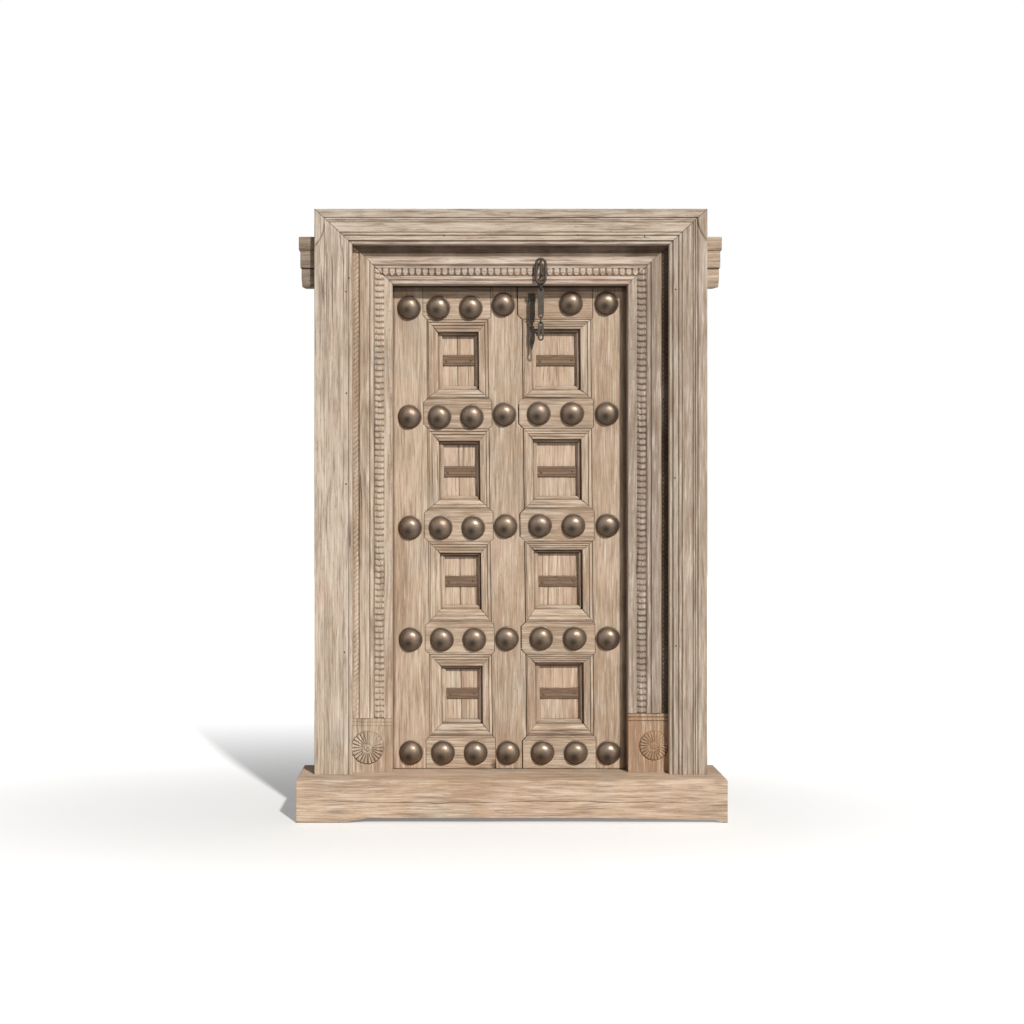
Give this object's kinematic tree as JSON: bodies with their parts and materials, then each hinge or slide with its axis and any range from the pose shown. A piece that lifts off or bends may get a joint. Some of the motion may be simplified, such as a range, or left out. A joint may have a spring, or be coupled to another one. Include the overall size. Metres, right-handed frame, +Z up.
{
  "type": "haveli door",
  "caption": "Old carved timber doorway: mitred architrave, carved jambs and lintel, threshold, two studded panelled leaves on pivots and an iron door chain.",
  "frame": {"origin": "under the middle of the threshold's length and depth, at its feet", "axes": "+Z up, +X to the right seen from the front, +Y into the building, the way the leaves open"},
  "size_m": [1.494, 0.25, 2.1305],
  "materials": {
    "bleached_teak": "bleached, dry and weathered, with open grain",
    "sanded_teak": "sanded old teak, matt, with open grain",
    "dark_iron": "hand-forged, brown with age, worn bright on its edges"
  },
  "bodies": {
    "frame": {"threshold": "sanded_teak", "lintel_beam": "bleached_teak", "jamb_left": "bleached_teak", "jamb_right": "bleached_teak", "architrave_left": "bleached_teak", "architrave_right": "bleached_teak", "architrave_head": "bleached_teak", "lintel_staple": "dark_iron"},
    "left_leaf": {"left_board_outer": "sanded_teak", "left_board_inner": "sanded_teak", "left_stile": "sanded_teak", "meeting_post": "sanded_teak", "left_rail_1": "sanded_teak", "left_rail_2": "sanded_teak", "left_rail_3": "sanded_teak", "left_rail_4": "sanded_teak", "left_rail_5": "sanded_teak", "left_moulding_1": "sanded_teak", "left_moulding_2": "sanded_teak", "left_moulding_3": "sanded_teak", "left_moulding_4": "sanded_teak", "left_strap_1": "dark_iron", "left_strap_2": "dark_iron", "left_strap_3": "dark_iron", "left_strap_4": "dark_iron"},
    "right_leaf": {"right_board_outer": "sanded_teak", "right_board_inner": "sanded_teak", "right_stile": "sanded_teak", "right_rail_1": "sanded_teak", "right_rail_2": "sanded_teak", "right_rail_3": "sanded_teak", "right_rail_4": "sanded_teak", "right_rail_5": "sanded_teak", "right_moulding_1": "sanded_teak", "right_moulding_2": "sanded_teak", "right_moulding_3": "sanded_teak", "right_moulding_4": "sanded_teak", "right_strap_1": "dark_iron", "right_strap_2": "dark_iron", "right_strap_3": "dark_iron", "right_strap_4": "dark_iron", "leaf_staple": "dark_iron"},
    "ring": {"chain_ring": "dark_iron"},
    "twisted_link": {"chain_twisted_link": "dark_iron"},
    "bar": {"chain_bar": "dark_iron"},
    "connector": {"chain_connector": "dark_iron"},
    "lower_link": {"chain_lower_link": "dark_iron"},
    "leaf_chain_link": {"leaf_link": "dark_iron"},
    "leaf_chain_connector": {"leaf_connector": "dark_iron"},
    "leaf_chain_tip": {"leaf_tip_link": "dark_iron"}
  },
  "joints": [
    {"name": "left_leaf_pivots", "type": "hinge", "parent": "frame", "child": "left_leaf", "pos_m": [-0.437, 0.0775, 0.152], "axis": [0, 0, 1], "range_deg": [0, 90]},
    {"name": "right_leaf_pivots", "type": "hinge", "parent": "frame", "child": "right_leaf", "pos_m": [0.437, 0.0775, 0.152], "axis": [0, 0, -1], "range_deg": [0, 90]},
    {"name": "ring_on_staple", "type": "hinge", "parent": "frame", "child": "ring", "pos_m": [0.106, -0.026, 1.9423], "axis": [0, -1, 0], "range_deg": [0, 8]},
    {"name": "twisted_link_on_ring", "type": "hinge", "parent": "ring", "child": "twisted_link", "pos_m": [0.106, -0.026, 1.8728], "axis": [-1, 0, 0], "range_deg": [-10, 38]},
    {"name": "bar_on_twisted_link", "type": "hinge", "parent": "twisted_link", "child": "bar", "pos_m": [0.106, -0.026, 1.8488], "axis": [0, -1, 0], "range_deg": [0, 30]},
    {"name": "connector_on_bar", "type": "hinge", "parent": "bar", "child": "connector", "pos_m": [0.106, -0.026, 1.7486], "axis": [-1, 0, 0], "range_deg": [-20, 60]},
    {"name": "lower_link_on_connector", "type": "hinge", "parent": "connector", "child": "lower_link", "pos_m": [0.106, -0.026, 1.7291], "axis": [0, -1, 0], "range_deg": [0, 40]},
    {"name": "leaf_link_on_staple", "type": "hinge", "parent": "right_leaf", "child": "leaf_chain_link", "pos_m": [0.078, 0.03, 1.8221], "axis": [0, 1, 0], "range_deg": [0, 30]},
    {"name": "leaf_connector_on_link", "type": "hinge", "parent": "leaf_chain_link", "child": "leaf_chain_connector", "pos_m": [0.078, 0.03, 1.7401], "axis": [-1, 0, 0], "range_deg": [-3, 60]},
    {"name": "tip_link_on_connector", "type": "hinge", "parent": "leaf_chain_connector", "child": "leaf_chain_tip", "pos_m": [0.078, 0.03, 1.7206], "axis": [0, 1, 0], "range_deg": [0, 30]}
  ]
}
